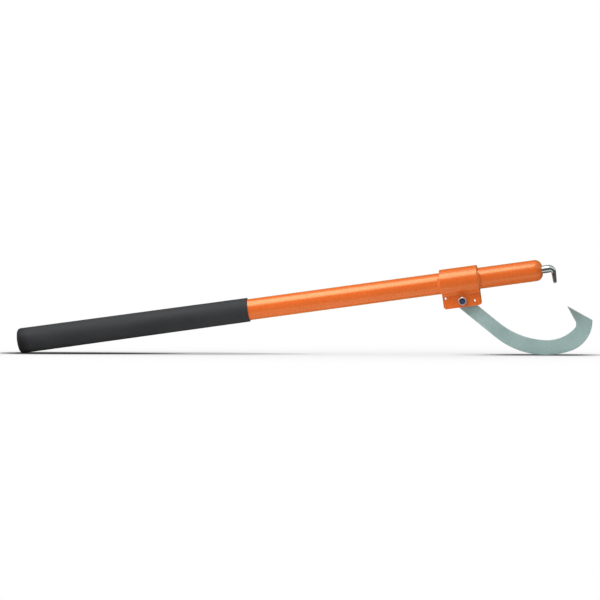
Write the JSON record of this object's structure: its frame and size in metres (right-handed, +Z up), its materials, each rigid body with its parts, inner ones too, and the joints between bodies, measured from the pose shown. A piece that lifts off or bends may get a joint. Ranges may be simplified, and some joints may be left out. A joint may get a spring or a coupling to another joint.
{
  "type": "cant hook",
  "caption": "Lever for rolling logs: a long tubular handle with a rubber grip, and a curved hook that swings in a bracket near a tip with a bent toe pin.",
  "frame": {"origin": "on the floor, below the middle of the tool's length, in the plane in which the hook swings", "axes": "+X along the tool towards its tip, +Y across it towards the bolt's head, +Z up from the floor that the grip's butt and the hook's belly rest on"},
  "size_m": [1.0392, 0.0488, 0.1699],
  "materials": {
    "orange_paint": "glossy orange powder coat over steel",
    "grip_rubber": "matte charcoal foam rubber with a fine pebbled skin",
    "plug_plastic": "plain black moulded plastic",
    "toe_steel": "bright zinc-plated round steel",
    "fastener_zinc": "bright zinc plate, slightly blue",
    "bolt_black": "black-oxide steel with a faint blue cast",
    "insert_nylon": "dark blue nylon",
    "hook_steel": "satin grey-green zinc plate over flat steel plate, ground at the point"
  },
  "bodies": {
    "handle": {"handle_tube": "orange_paint", "grip_sleeve": "grip_rubber", "butt_plug": "plug_plastic", "tip_cap": "orange_paint", "toe_hook": "toe_steel", "saddle_bracket": "orange_paint", "weld_bead_rear_near": "orange_paint", "weld_bead_rear_far": "orange_paint", "weld_bead_front_near": "orange_paint", "weld_bead_front_far": "orange_paint", "pivot_bolt": "bolt_black", "lock_nut": "fastener_zinc", "nut_insert": "insert_nylon"},
    "hook": {"hook": "hook_steel"}
  },
  "joints": [
    {"name": "hook_pivot", "type": "hinge", "parent": "handle", "child": "hook", "pos_m": [0.28797, 0, 0.09611], "axis": [0, 1, 0], "range_deg": [-34, 133]}
  ]
}
